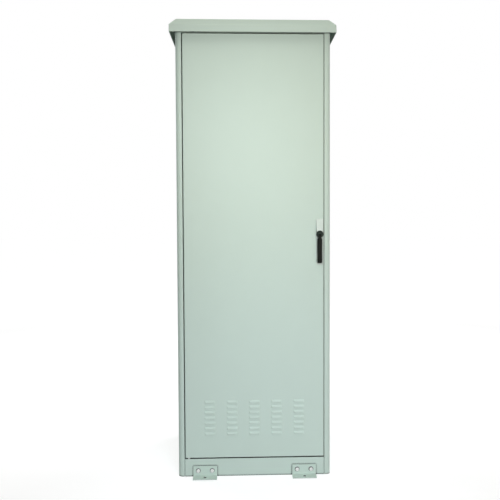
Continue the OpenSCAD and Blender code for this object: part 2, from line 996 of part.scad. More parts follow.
// Fan frames under the ceiling plate: square housing, struts and a fixed shaft
module fan_frame() {
    strut = 5;
    corner_r = 6;
    into_wall = 1;
    shaft_short = 6;
    z0 = post_h - fan_h;
    color(black)
        translate([fan_x, 0, 0]) {
            difference() {
                translate([0, 0, z0])
                    linear_extrude(fan_h)
                        rounded_rect(fan_side, fan_side, corner_r);
                translate([0, 0, z0 - cut])
                    cylinder(h = fan_h + 2*cut, d = fan_bore);
            }
            translate([0, 0, z0])
                intersection() {
                    for (a = [45, 135])
                        rotate(a)
                            translate([-fan_side/2, -strut/2, 0])
                                cube([fan_side, strut, fan_plate_t]);
                    cylinder(h = fan_plate_t, d = fan_bore + 2*into_wall);
                }
            translate([0, 0, z0])
                cylinder(h = fan_plate_t, r = fan_hub_r);
            translate([0, 0, z0])
                cylinder(h = fan_h - shaft_short, d = fan_shaft_d);
        }
}

module fan_frame_right() fan_frame();
module fan_frame_left() mirror([1, 0, 0]) fan_frame();

// Fan rotor: hub cup on the fixed shaft with pitched blades
module fan_rotor() {
    z0 = post_h - fan_h + fan_plate_t + near_fit;
    rotor_short = 8;
    hub_h = fan_h - fan_plate_t - rotor_short;
    blade_root = fan_hub_r - 3;
    blade_r = fan_bore/2 - fan_tip_gap;
    blade_w = 30;
    blade_t = 2;
    blade_pitch = 38;
    color(black)
        translate([fan_x, 0, z0])
            difference() {
                union() {
                    cylinder(h = hub_h, r = fan_hub_r);
                    intersection() {
                        for (k = [0:fan_blades - 1])
                            rotate(k*360/fan_blades)
                                translate([0, 0, hub_h/2])
                                    rotate([blade_pitch, 0, 0])
                                        translate([blade_root, -blade_w/2, -blade_t/2])
                                            cube([blade_r, blade_w, blade_t]);
                        cylinder(h = hub_h, r = blade_r);
                    }
                }
                translate([0, 0, -cut])
                    cylinder(h = hub_h + 2*cut, d = fan_shaft_d + 2*running_fit);
            }
}

module fan_rotor_right() fan_rotor();
module fan_rotor_left() mirror([1, 0, 0]) fan_rotor();

// Keepers: slotted plates behind the header and the sill, in line with the rods
module keeper(x, z) {
    side_land = 8;
    front_land = 5;
    keeper_w = rod_slot.x + 2*side_land;
    keeper_d = rod_slot.y + 2*front_land;
    translate([x, rod_y, z])
        difference() {
            translate([-keeper_w/2, -keeper_d/2, 0])
                cube([keeper_w, keeper_d, keeper_t]);
            translate([-rod_slot.x/2, -rod_slot.y/2, -cut])
                cube([rod_slot.x, rod_slot.y, keeper_t + 2*cut]);
        }
}

module rod_keepers() {
    color(zinc) {
        keeper(handle_x + rod_mid_x, post_h);
        keeper(handle_x - rod_mid_x, plinth_h - frame_t - keeper_t);
    }
}

// Pivot pins fixed in the sill and the header, each with a collar toward the door
module hinge_pins() {
    head_h = 4;
    pin_head_d = 2*(pivot_back - frame_t - near_fit);
    collar_h = foot_gap - near_fit;
    collar_d = pin_d + 5;
    color(zinc)
        translate([pivot_x, pivot_y, 0]) {
            translate([0, 0, plinth_h - frame_t])
                cylinder(h = frame_t + foot_gap + bush_h, d = pin_d);
            translate([0, 0, plinth_h - frame_t - head_h])
                cylinder(h = head_h, d = pin_head_d);
            translate([0, 0, plinth_h])
                cylinder(h = collar_h, d = collar_d);
            translate([0, 0, door_z1 - bush_h])
                cylinder(h = frame_t + door_gap + bush_h, d = pin_d);
            translate([0, 0, post_h])
                cylinder(h = head_h, d = pin_head_d);
        }
}

// Bushes in the door's top and bottom returns, with a flange inside the pan
module bush() {
    flange = 0.4;
    flange_h = 3;
    difference() {
        union() {
            cylinder(h = bush_h, d = bush_d);
            translate([0, 0, sheet_t])
                cylinder(h = flange_h, d = bush_d + 2*flange);
        }
        translate([0, 0, -cut])
            cylinder(h = bush_h + 2*cut, d = pin_d + 2*running_fit);
    }
}

module hinge_bushes() {
    color(nylon) {
        translate([pivot_x, pivot_y, door_z0])
            bush();
        translate([pivot_x, pivot_y, door_z1])
            mirror([0, 0, 1])
                bush();
    }
}

// Louvres: a pressed hood with round ends, open at its lower edge
module louvre_form(grow, back) {
    hood_r = (louvre_d*louvre_d + louvre_h*louvre_h)/(2*louvre_d);
    low = grow < 0 ? -cut/2 : 0;
    end_flat = 0.5;
    end_r = louvre_d + grow - end_flat;
    length = louvre_l + 2*grow;
    intersection() {
        along_x(length)
            intersection() {
                translate([hood_r - louvre_d, 0])
                    circle(hood_r + grow);
                translate([-2*louvre_d, low])
                    square([2*louvre_d + back, louvre_h - low]);
            }
        translate([0, 0, low - cut])
            linear_extrude(louvre_h + 2*cut)
                rounded_rect(length, 2*(louvre_d + grow), end_r);
    }
}

module louvre_places() {
    for (c = [0:louvre_cols - 1], r = [0:louvre_rows - 1])
        translate([(c - (louvre_cols - 1)/2)*louvre_pitch_x, front_y, louvre_z + r*louvre_pitch_z])
            children();
}

// Door: folded pan with louvres, handle cut-out, rod slots and pivot holes
module door_skin() {
    color(mint)
        difference() {
            union() {
                translate([free_out/2, front_y, door_z0])
                    pan_sheet(door_w + free_out, door_h, door_depth, door_lip);
                louvre_places()
                    louvre_form(0, sheet_t/2);
            }
            louvre_places()
                louvre_form(-louvre_t, sheet_t + cut);
            translate([handle_x, 0, handle_z])
                along_y(front_y - cut, front_y + sheet_t + cut)
                    translate([0, (tub_up - tub_down)/2])
                        rounded_rect(tub_w + 2*near_fit, tub_up + tub_down + 2*near_fit, tub_r);
            for (z = [door_z0, door_z1])
                translate([pivot_x, pivot_y, z - sheet_t - cut])
                    cylinder(h = 2*sheet_t + 2*cut, d = bush_d);
            translate([handle_x + rod_mid_x, rod_y, door_z1])
                cube([rod_slot.x, rod_slot.y, 2*sheet_t + 2*cut], center = true);
            translate([handle_x - rod_mid_x, rod_y, door_z0])
                cube([rod_slot.x, rod_slot.y, 2*sheet_t + 2*cut], center = true);
        }
}

// Hat-section stiffeners on the back of the door sheet
module door_stiffeners() {
    foot = 12;
    t = 1.5;
    above_filter = 20;
    below_flange = 10;
    z0 = filter_z1 + above_filter;
    z1 = door_z1 - door_lip - below_flange;
    color(mint)
        for (s = [-1, 1])
            translate([s*stiffener_x, front_y + sheet_t, z0])
                linear_extrude(z1 - z0) {
                    difference() {
                        translate([-stiffener_w/2, 0])
                            square([stiffener_w, stiffener_d]);
                        translate([-stiffener_w/2 + t, -cut])
                            square([stiffener_w - 2*t, stiffener_d - t + cut]);
                    }
                    for (m = [0, 1])
                        mirror([m, 0])
                            translate([stiffener_w/2 - t, 0])
                                square([foot + t, t]);
                }
}

// Gasket strips on the inner flange of the door, just short of the sealing lips
module gasket_section() {
    crown_r = gasket_w/2 - 1;
    intersection() {
        rounded_rect(gasket_w, 2*gasket_t, crown_r);
        translate([-gasket_w, 0])
            square([2*gasket_w, gasket_t + cut]);
    }
}

module gasket_strip() {
    color(rubber)
        translate([gasket_x - gasket_w/2, front_y + door_depth, gasket_z0])
            linear_extrude(gasket_z1 - gasket_z0)
                gasket_section();
}

module gasket_right() gasket_strip();
module gasket_left() mirror([1, 0, 0]) gasket_strip();

module gasket_cross(z) {
    color(rubber)
        translate([0, front_y + door_depth, z])
            rotate([0, 90, 0])
                linear_extrude(2*(gasket_x - gasket_w - near_fit), center = true)
                    gasket_section();
}

module gasket_top() gasket_cross(gasket_z1 - gasket_w/2);
module gasket_bottom() gasket_cross(gasket_z0 + gasket_w/2);

// Filter tray behind the louvres, with bars across its back, and the mat in it
module filter_frame() {
    rows = 2;
    cell_w = (2*filter_x - 2*filter_wall - filter_bar)/louvre_cols;
    cell_h = (filter_z1 - filter_z0 - 2*filter_wall - filter_bar)/rows;
    color(steel)
        difference() {
            translate([-filter_x, front_y + sheet_t, filter_z0])
                cube([2*filter_x, filter_d, filter_z1 - filter_z0]);
            translate([-filter_x + filter_wall, front_y + sheet_t - cut, filter_z0 + filter_wall])
                cube([2*(filter_x - filter_wall), filter_d - filter_wall + cut,
                      filter_z1 - filter_z0 - 2*filter_wall]);
            for (c = [0:louvre_cols - 1], r = [0:rows - 1])
                translate([-filter_x + filter_wall + filter_bar + c*cell_w, front_y,
                           filter_z0 + filter_wall + filter_bar + r*cell_h])
                    cube([cell_w - filter_bar, filter_d + sheet_t + cut, cell_h - filter_bar]);
        }
}

module filter_mat() {
    back_y = front_y + sheet_t + filter_d - filter_wall;
    inset = filter_wall + near_fit;
    color(mat_white)
        translate([-filter_x + inset, back_y - filter_mat_t, filter_z0 + inset])
            cube([2*(filter_x - inset), filter_mat_t, filter_z1 - filter_z0 - 2*inset]);
}

// Handle pan: flange on the door, tub through it, wedge above the head, bosses behind
module wedge_side() {
    wedge_low = head_d/2 - wedge_lap;
    wedge_crest = head_d/2 + wedge_flat;
    wedge_top = pan_up - wedge_lap;
    toe = 0.5;
    polygon([
        [pan_front + cut, wedge_low],
        [pan_front - wedge_h, wedge_low],
        [pan_front - wedge_h, wedge_crest],
        [pan_front - toe, wedge_top],
        [pan_front + cut, wedge_top]
    ]);
}

module handle_pan() {
    wedge_w = pan_w - 2*wedge_inset;
    wedge_r = 5;
    wedge_mid = head_d/2 + pan_up/2 - 2*wedge_lap;
    pan_r = 6;
    tray_w = 29;
    tray_h = tub_down - head_d/2 + 6;
    tray_drop = 2.5;
    tray_r = 5;
    pocket_w = 23;
    pocket_h = tub_down - boss_z - boss_d - 4;
    pocket_r = 3;
    head_clear = 1.2;
    color(pan_grey)
        translate([handle_x, 0, handle_z])
            difference() {
                union() {
                    along_y(pan_front, front_y)
                        translate([0, (pan_up - pan_down)/2])
                            rounded_rect(pan_w, pan_up + pan_down, pan_r);
                    along_y(front_y - cut, tub_back)
                        translate([0, (tub_up - tub_down)/2])
                            rounded_rect(tub_w, tub_up + tub_down, tub_r);
                    intersection() {
                        along_x(wedge_w)
                            wedge_side();
                        along_y(pan_front - wedge_h - cut, front_y)
                            translate([0, wedge_mid])
                                rounded_rect(wedge_w, pan_up, wedge_r);
                    }
                    for (s = [-1, 1])
                        translate([0, 0, s*boss_z])
                            rod_y_dir(boss_d, tub_back - cut, plate_y0);
                }
                along_y(pan_front - cut, pan_front + tray_drop)
                    translate([0, -(tub_down + head_d/2)/2])
                        rounded_rect(tray_w, tray_h, tray_r);
                along_y(pan_front - cut, tub_back - tub_wall)
                    translate([0, -(tub_down + boss_z + boss_d)/2])
                        rounded_rect(pocket_w, pocket_h, pocket_r);
                rod_y_dir(head_d + 2*head_clear, pan_front - wedge_h - cut, pan_front);
                rod_y_dir(spindle_d + 2*running_fit, pan_front - cut, plate_y0 + cut);
                for (s = [-1, 1])
                    translate([0, 0, s*boss_z])
                        rod_y_dir(boss_bore, tub_back - tub_wall, plate_y0 + cut);
            }
}

// Lock plate on the bosses, the rear bearing of the spindle
module lock_plate() {
    plate_w = 28;
    plate_h = 2*boss_z + boss_d + 8;
    corner_r = 4;
    color(steel)
        translate([handle_x, 0, handle_z])
            difference() {
                along_y(plate_y0, plate_y1)
                    rounded_rect(plate_w, plate_h, corner_r);
                rod_y_dir(spindle_d + 2*running_fit, plate_y0 - cut, plate_y1 + cut);
                for (s = [-1, 1])
                    translate([0, 0, s*boss_z])
                        rod_y_dir(boss_bore, plate_y0 - cut, plate_y1 + cut);
            }
}

module lock_screws() {
    head_d1 = boss_d - 1;
    head_h = 2.5;
    in_boss = 6;
    color(zinc)
        translate([handle_x, 0, handle_z])
            for (s = [-1, 1])
                translate([0, 0, s*boss_z]) {
                    rod_y_dir(head_d1, plate_y1, plate_y1 + head_h);
                    rod_y_dir(boss_bore - 2*running_fit, plate_y0 - in_boss, plate_y1 + cut);
                }
}

// Handle head with its spindle, slotted for the lever tongue
module handle_hub() {
    rim = 2;
    slot_wall = 1.5;
    slot_top = 1.5;
    spindle_past = 1;
    slot_floor = head_back - slot_wall;
    color(black)
        translate([handle_x, 0, handle_z])
            difference() {
                union() {
                    rod_y_dir(head_d, head_front + rim, head_back);
                    translate([0, head_front + rim, 0])
                        rotate([90, 0, 0])
                            cylinder(h = rim, d1 = head_d, d2 = head_d - 2*rim);
                    rod_y_dir(spindle_d, head_back - cut, plate_y1 + spindle_past);
                }
                translate([-tongue_w/2 - near_fit, head_front - cut, -head_d])
                    cube([tongue_w + 2*near_fit, slot_floor - head_front + cut, head_d + slot_top]);
                translate([0, lever_pin_y, -lever_pin_drop])
                    rod_x_dir(lever_pin_d + 2*running_fit, -head_d, head_d);
            }
}

module lever_pin() {
    end_gap = 1.5;
    half = sqrt(head_d*head_d/4 - lever_pin_drop*lever_pin_drop) - end_gap;
    color(steel)
        translate([handle_x, lever_pin_y, lever_pin_z])
            rod_x_dir(lever_pin_d, -half, half);
}

// Lever: tongue in the head, then a blade that thins to a rounded tip with a finger groove
module handle_lever() {
    shoulder = head_d/2 + shoulder_gap;
    flat_end = 0.6*lever_l;
    tip_thin = 2.5;
    color(black)
        translate([handle_x, 0, handle_z])
            difference() {
                union() {
                    translate([0, lever_pin_y, -lever_pin_drop])
                        rod_x_dir(2*tongue_r, -tongue_w/2, tongue_w/2);
                    translate([-tongue_w/2, lever_pin_y - tongue_r, -shoulder - cut])
                        cube([tongue_w, 2*tongue_r, shoulder + cut - lever_pin_drop]);
                    intersection() {
                        along_x(lever_w)
                            polygon([
                                [lever_back, -shoulder],
                                [lever_front, -shoulder],
                                [lever_front, -flat_end],
                                [lever_front + tip_thin, -lever_l],
                                [lever_back, -lever_l]
                            ]);
                        along_y(lever_front - cut, lever_back + cut)
                            translate([0, -(shoulder + lever_l)/2])
                                rounded_rect(lever_w, lever_l - shoulder, lever_edge_r);
                        translate([0, lever_back, -lever_l - cut])
                            linear_extrude(lever_l)
                                rounded_rect(lever_w, 2*lever_t, lever_edge_r);
                    }
                }
                translate([0, lever_pin_y, -lever_pin_drop])
                    rod_x_dir(lever_pin_d + 2*running_fit, -lever_w, lever_w);
                translate([0, lever_front, lever_groove_end - lever_l])
                    rod_x_dir(lever_groove_d, -lever_w, lever_w);
            }
}

// Involute pinion on the spindle
function involute(a) = tan(a)*180/PI - a;
function half_tooth(r, base_r) =
    90/gear_teeth - backlash*90/(PI*pitch_r)
    + involute(pressure_angle) - involute(acos(base_r/max(r, base_r)));
function polar(r, a) = [r*cos(a), r*sin(a)];

module pinion_outline() {
    base_r = pitch_r*cos(pressure_angle);
    root_r = pitch_r - tooth_root*gear_m;
    tip_r = pitch_r + pinion_tip*gear_m;
    steps = 4;
    radii = concat([root_r], [for (i = [0:steps]) base_r + (tip_r - base_r)*i/steps]);
    polygon([
        for (k = [0:gear_teeth - 1])
            let(mid = k*360/gear_teeth)
            each concat(
                [for (r = radii) polar(r, mid - half_tooth(r, base_r))],
                [for (i = [len(radii) - 1:-1:0]) polar(radii[i], mid + half_tooth(radii[i], base_r))]
            )
    ]);
}

module drive_pinion() {
    color(steel)
        translate([handle_x, 0, handle_z])
            difference() {
                along_y(pinion_y0, pinion_y1)
                    pinion_outline();
                rod_y_dir(spindle_d + 2*press_fit, pinion_y0 - cut, pinion_y1 + cut);
            }
}

// Rod with a rack at its lower end: teeth toward the pinion, a tooth gap level with its axis
module rod_outline(reach) {
    half_pitch = rack_pitch/4 - backlash;
    tip = half_pitch - rack_addendum*tan(pressure_angle);
    foot = half_pitch + rack_dedendum*tan(pressure_angle);
    root_x = pitch_r + rack_dedendum;
    tip_x = pitch_r - rack_addendum;
    inner_x = rod_outer - rod_w;
    taper = 3;
    polygon(concat(
        [
            for (k = [0:rack_teeth - 1])
                let(mid = (k - rack_teeth/2 + 1)*rack_pitch)
                each [
                    [root_x, mid - foot], [tip_x, mid - tip], [tip_x, mid + tip], [root_x, mid + foot]
                ]
        ],
        [
            [root_x, rod_start], [inner_x, rod_start],
            [inner_x, reach - 2*taper], [inner_x + taper, reach],
            [rod_outer - taper, reach], [rod_outer, reach - 2*taper],
            [rod_outer, -rack_half], [root_x, -rack_half]
        ]
    ));
}

module rod(reach) {
    along_y(rod_y - rod_t/2, rod_y + rod_t/2)
        rod_outline(reach);
}

module upper_rod() {
    color(zinc)
        translate([handle_x, 0, handle_z])
            rod(door_z1 + rod_out - handle_z);
}

module lower_rod() {
    color(zinc)
        translate([handle_x, 0, handle_z])
            rotate([0, 180, 0])
                rod(handle_z - door_z0 + rod_out);
}

// Guides that hold the rods to the back of the door sheet
module rod_guide(x, z) {
    wall = 1.5;
    guide_h = 16;
    back_y = rod_y + rod_slot.y/2 + wall;
    translate([x, 0, z - guide_h/2])
        difference() {
            translate([-rod_slot.x/2 - wall, front_y + sheet_t, 0])
                cube([rod_slot.x + 2*wall, back_y - front_y - sheet_t, guide_h]);
            translate([-rod_slot.x/2, rod_y - rod_slot.y/2, -cut])
                cube([rod_slot.x, rod_slot.y, guide_h + 2*cut]);
        }
}

module rod_guides() {
    color(nylon) {
        for (z = [handle_z + guide_near, door_z1 - guide_end])
            rod_guide(handle_x + rod_mid_x, z);
        for (z = [handle_z - guide_near, door_z0 + guide_end])
            rod_guide(handle_x - rod_mid_x, z);
    }
}

post_front_left();
post_front_right();
post_rear_left();
post_rear_right();
plinth_front();
plinth_rear();
plinth_left();
plinth_right();
header_front();
header_rear();
side_panel_left();
side_panel_right();
rear_panel();
floor_plate();
gland_plate();
gland_grommets();
ceiling_plate();
roof_cap();
roof_bolts();
bracket_front_left();
bracket_front_right();
bracket_rear_left();
bracket_rear_right();
bracket_bolts();
rail_front_left();
rail_front_right();
rail_rear_left();
rail_rear_right();
rail_braces_left();
rail_braces_right();
rail_bolts();
equipment_shelf();
earth_bar();
fan_frame_left();
fan_frame_right();
rod_keepers();
hinge_pins();
panel_screws();
door_skin();
door_stiffeners();
gasket_left();
gasket_right();
gasket_top();
gasket_bottom();
filter_frame();
filter_mat();
hinge_bushes();
handle_pan();
lock_plate();
rod_guides();
lock_screws();
handle_hub();
drive_pinion();
handle_lever();
lever_pin();
upper_rod();
lower_rod();
fan_rotor_left();
fan_rotor_right();
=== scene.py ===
"""Looks of a roadside utility cabinet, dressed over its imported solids. Metres, front toward -Y."""
import json
import math

import bmesh
import bpy
from mathutils import Matrix, Vector


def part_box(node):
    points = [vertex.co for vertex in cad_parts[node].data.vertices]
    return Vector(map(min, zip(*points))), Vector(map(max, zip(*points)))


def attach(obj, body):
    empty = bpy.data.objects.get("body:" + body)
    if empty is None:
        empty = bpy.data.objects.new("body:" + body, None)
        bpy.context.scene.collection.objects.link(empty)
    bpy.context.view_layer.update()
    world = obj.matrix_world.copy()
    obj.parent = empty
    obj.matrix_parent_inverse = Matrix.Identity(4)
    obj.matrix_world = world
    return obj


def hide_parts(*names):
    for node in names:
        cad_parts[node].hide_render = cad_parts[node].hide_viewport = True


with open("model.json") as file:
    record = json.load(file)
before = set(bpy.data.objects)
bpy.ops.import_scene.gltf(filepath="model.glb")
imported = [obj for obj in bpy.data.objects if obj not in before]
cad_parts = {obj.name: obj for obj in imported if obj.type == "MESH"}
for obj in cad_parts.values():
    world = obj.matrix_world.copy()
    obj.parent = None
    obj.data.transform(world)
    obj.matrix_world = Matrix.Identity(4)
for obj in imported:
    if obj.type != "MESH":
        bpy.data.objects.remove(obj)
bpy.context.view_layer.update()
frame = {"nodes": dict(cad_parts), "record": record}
NODES = frame["nodes"]
BODIES = frame["record"]["behaviour"]["bodies"]
BODY_OF = {node: body for body, nodes in BODIES.items() for node in nodes}
SLOT_OF = {part["node"]: part["material_slot"] for part in frame["record"]["subparts"]}
MM = 0.001
ENDS = ("front", "rear")
SIDES = ("front", "rear", "left", "right")
CORNERS = ("front_left", "front_right", "rear_left", "rear_right")

# Camera, fitted to the cabinet's edges in the 500 x 500 photograph
IMAGE_PX = 500
FOCAL_PX = 744.7
CENTRE_PX = (275.1, 249.6)
CAMERA_AT = Vector((-0.050, -3.7435, 1.2056))
CAMERA_YAW = math.radians(2.481)
CAMERA_PITCH = math.radians(2.708)
CAMERA_ROLL = math.radians(0.167)
SENSOR_MM = 36.0

# Studio
FLOOR_SIZE = 60.0
FLOOR_COLOUR = (0.55, 0.55, 0.55)
# Glow of the floor to the viewer, near the cabinet and far off, and the two distances
FLOOR_GLOW = (0.65, 0.93)
GLOW_REACH = (2.0, 5.5)
WORLD_LEVEL = 0.13
WHITE = (1.0, 1.0, 1.0)
# Soft boxes: name, place, aim, side, watts, colour
SOFT_BOXES = [
    ("top_box", (-0.2, -1.6, 4.6), (0.0, -0.3, 1.6), 1.6, 31, (1.0, 0.99, 0.90)),
    ("right_box", (1.6, -3.4, 1.2), (0.1, -0.3, 1.1), 1.6, 28, (1.0, 0.91, 0.85)),
    ("rear_left_box", (-2.5, 2.6, 2.5), (0.0, 0.2, 1.1), 2.0, 70, WHITE),
    ("rear_right_box", (2.5, 2.6, 2.5), (0.0, 0.2, 1.1), 2.0, 70, WHITE),
]
# Soft boxes that leave no glare on the roof
NO_GLARE = ("rear_left_box", "rear_right_box")
# Soft spots on the door: name, place, aim, cone in degrees, watts, colour
SPOTS = [
    ("key", (0.3, -3.2, 1.9), (0.0, -0.35, 1.55), 36, 116, (0.97, 1.0, 0.83)),
    ("left_key", (-0.6, -3.2, 1.7), (-0.05, -0.35, 1.60), 30, 96, (0.78, 0.81, 1.0)),
    ("low_key", (0.4, -3.6, 1.7), (0.05, -0.35, 0.15), 41, 236, (0.785, 0.875, 0.985)),
]
SPOT_RADIUS = 0.5
SPOT_BLEND = 1.0

# Painted shade in the crevices of painted and plated faces: reach, shade, and the openness from shut to
# clear
CREVICE_REACH = 9 * MM
CREVICE_SHADE = 0.20
CREVICE_OPEN = (0.10, 0.80)
CREVICE_SAMPLES = 8

# Edges in the finishes: samples of the rounding, and the cosine of its turn from edge to flat
EDGE_SAMPLES = 4
EDGE_TURN = (0.80, 0.995)

# Colour sockets of the Mix node
MIX_A, MIX_B, MIX_OUT = 6, 7, 2

# Steps in a turn, a multiple of six
TURN = 24
# Hexagon heads and nuts, in shares of the thread's diameter
HEX_ACROSS = 1.85
HEX_HEAD_H = 0.65
HEX_NUT_H = 0.80
# The round face of a chamfered hexagon, as a share of its flats, and the chamfer's slope
HEX_FACE = 0.95
CHAMFER = math.tan(math.radians(30))
# Threads, in shares of the pitch, and the tip as a share of the root
THREAD_DEPTH = 0.54
CREST_START = 0.40
CREST_END = 0.60
TIP = 0.9
# The rounded rim of a washer and the depth of a socket, in shares of the height
WASHER_RIM = 0.15
SOCKET_DEPTH = 0.6
# A domed head from its top, in shares of its radius and height
DOME = [(0.62, 0.0), (0.78, 0.10), (0.90, 0.28), (0.97, 0.55), (1.0, 0.85), (1.0, 1.0)]

# Corners nearer than JOIN are one, and points within END_BAND of a fastener's end lie on it
JOIN = 1e-6
END_BAND = 2e-5
# Faces that turn less than FLAT are one, and edges that turn more than SHARP may be rounded
FLAT = math.radians(0.5)
SHARP = math.radians(25)
BRACKET_EDGE = 0.8 * MM
ROOF_FOLD = 3 * MM
FOLD_STEPS = 3
ROUND = 0.5
# How near the roof's box its outer folds lie
OUTER = 0.5 * MM
# Anchor holes: distance from the middle, radius, and how little the normal of a wall may rise
ANCHOR_Y = 383 * MM
ANCHOR_R = 7.2 * MM
UPRIGHT = 0.5


# Shader helpers
def principled(name, colour, rough, metallic=0.0, gloss=0.5):
    """A new material, its node tree and its shader, with constants set on the shader's own sockets."""
    mat = bpy.data.materials.new(name)
    mat.use_nodes = True
    shader = mat.node_tree.nodes["Principled BSDF"]
    shader.inputs["Base Color"].default_value = (*colour, 1)
    shader.inputs["Roughness"].default_value = rough
    shader.inputs["Metallic"].default_value = metallic
    shader.inputs["Specular IOR Level"].default_value = gloss
    return mat, mat.node_tree, shader


def wire(tree, shader, colour, rough=None, normal=None):
    """Links a finish's colour, roughness and normal to its shader."""
    for socket, output in (("Base Color", colour), ("Roughness", rough), ("Normal", normal)):
        if output is not None:
            tree.links.new(output, shader.inputs[socket])


def add(tree, kind, values=None, **props):
    """A node of that kind, with its properties and input values set."""
    node = tree.nodes.new("ShaderNode" + kind)
    for key, value in props.items():
        setattr(node, key, value)
    for key, value in (values or {}).items():
        node.inputs[key].default_value = value
    return node


def place(tree, stretch=(1, 1, 1)):
    """Coordinates in metres, fixed to the piece and stretched per axis."""
    coords = add(tree, "TexCoord")
    mapping = add(tree, "Mapping", {"Scale": stretch})
    tree.links.new(coords.outputs["Object"], mapping.inputs["Vector"])
    return mapping.outputs["Vector"]


def noise(tree, where, scale, detail=2.0, rough=0.5):
    """Soft noise of that many cells a metre."""
    node = add(tree, "TexNoise", {"Scale": scale, "Detail": detail, "Roughness": rough})
    tree.links.new(where, node.inputs["Vector"])
    return node.outputs["Fac"]


def spread(tree, fac, low, high, from_low=0.3, from_high=0.7):
    """A factor mapped to a range of numbers."""
    source = {"From Min": from_low, "From Max": from_high}
    node = add(tree, "MapRange", {**source, "To Min": low, "To Max": high})
    tree.links.new(fac, node.inputs["Value"])
    return node.outputs["Result"]


def between(tree, fac, colour_a, colour_b):
    """A colour between two others."""
    node = add(tree, "Mix", data_type="RGBA")
    tree.links.new(fac, node.inputs["Factor"])
    for socket, colour in ((MIX_A, colour_a), (MIX_B, colour_b)):
        if isinstance(colour, tuple):
            node.inputs[socket].default_value = (*colour, 1)
        else:
            tree.links.new(colour, node.inputs[socket])
    return node.outputs[MIX_OUT]


def soft_edges(tree, radius):
    """Normals that run round the edges, as a coat or a fold does."""
    return add(tree, "Bevel", {"Radius": radius}, samples=EDGE_SAMPLES).outputs["Normal"]


def edge_mask(tree, normal):
    """0 on flat faces, rising toward the edges."""
    geometry = add(tree, "NewGeometry")
    dot = add(tree, "VectorMath", operation="DOT_PRODUCT")
    tree.links.new(normal, dot.inputs[0])
    tree.links.new(geometry.outputs["Normal"], dot.inputs[1])
    return spread(tree, dot.outputs["Value"], 1.0, 0.0, *EDGE_TURN)


def crevice_shade_mask(tree, reach=CREVICE_REACH, window=CREVICE_OPEN):
    """1 on open faces, falling to 0 in gaps and slots, where the finish is given painted shade."""
    hidden = add(tree, "AmbientOcclusion", {"Distance": reach}, samples=CREVICE_SAMPLES)
    return spread(tree, hidden.outputs["AO"], 0.0, 1.0, *window)


def bump(tree, height, strength, distance, normal=None):
    """Normals that follow a height, over other normals where they are given."""
    node = add(tree, "Bump", {"Strength": strength, "Distance": distance})
    tree.links.new(height, node.inputs["Height"])
    if normal is not None:
        tree.links.new(normal, node.inputs["Normal"])
    return node.outputs["Normal"]


def scaled(colour, factor):
    """A colour made lighter or darker."""
    return tuple(min(1.0, channel * factor) for channel in colour)


# Materials
def powder_coat(name, colour, rough, reach=CREVICE_REACH, shade=CREVICE_SHADE, window=CREVICE_OPEN):
    """Powder coat: orange peel, faint mottling, a slow wave, paler edges and painted shade in the gaps.
    """
    mat, tree, shader = principled(name, colour, rough, gloss=0.25)
    where = place(tree)
    rounded = soft_edges(tree, radius=1.2 * MM)
    patches = noise(tree, where, scale=9, detail=3)
    mottled = between(tree, patches, scaled(colour, 0.985), scaled(colour, 1.015))
    edged = between(tree, edge_mask(tree, rounded), mottled, scaled(colour, 1.06))
    # Painted shade: the colour darkens in gaps and corners, where less light reaches
    shaded_in_gaps = between(tree, crevice_shade_mask(tree, reach, window), scaled(colour, shade), edged)
    sheen = spread(tree, noise(tree, where, scale=220), low=rough - 0.05, high=rough + 0.06)
    slow = noise(tree, where, scale=2.2, detail=1)
    wave = bump(tree, slow, strength=0.10, distance=4 * MM, normal=rounded)
    fine = noise(tree, where, scale=650, detail=2)
    peel = bump(tree, fine, strength=0.10, distance=0.3 * MM, normal=wave)
    wire(tree, shader, shaded_in_gaps, sheen, peel)
    return mat


def moulded_plastic(name, colour, rough, gloss=0.12):
    """Moulded plastic: fine spark grain, with edges rubbed a little paler."""
    mat, tree, shader = principled(name, colour, rough, gloss=gloss)
    where = place(tree)
    rounded = soft_edges(tree, radius=0.7 * MM)
    patches = noise(tree, where, scale=60, detail=3)
    mottled = between(tree, patches, scaled(colour, 0.9), scaled(colour, 1.1))
    edged = between(tree, edge_mask(tree, rounded), mottled, scaled(colour, 1.5))
    sheen = spread(tree, noise(tree, where, scale=180), low=rough - 0.06, high=rough + 0.08)
    fine = noise(tree, where, scale=900, detail=2)
    grain = bump(tree, fine, strength=0.18, distance=0.15 * MM, normal=rounded)
    wire(tree, shader, edged, sheen, grain)
    return mat


def plated_steel(name, colour, rough):
    """Zinc plating: slightly cloudy, with fine scratches and painted shade in the gaps."""
    mat, tree, shader = principled(name, colour, rough, metallic=1.0)
    where = place(tree)
    rounded = soft_edges(tree, radius=0.5 * MM)
    patches = noise(tree, where, scale=90, detail=4)
    cloud = between(tree, patches, scaled(colour, 0.88), scaled(colour, 1.05))
    # Painted shade: the plating's colour darkens in gaps and corners
    shaded_in_gaps = between(tree, crevice_shade_mask(tree, reach=6 * MM), scaled(colour, CREVICE_SHADE), cloud)
    fine = noise(tree, where, scale=260, detail=3)
    sheen = spread(tree, fine, low=rough - 0.07, high=rough + 0.10)
    lines = noise(tree, place(tree, stretch=(1, 1, 14)), scale=420, detail=2)
    scratches = bump(tree, lines, strength=0.06, distance=0.1 * MM, normal=rounded)
    wire(tree, shader, shaded_in_gaps, sheen, scratches)
    return mat


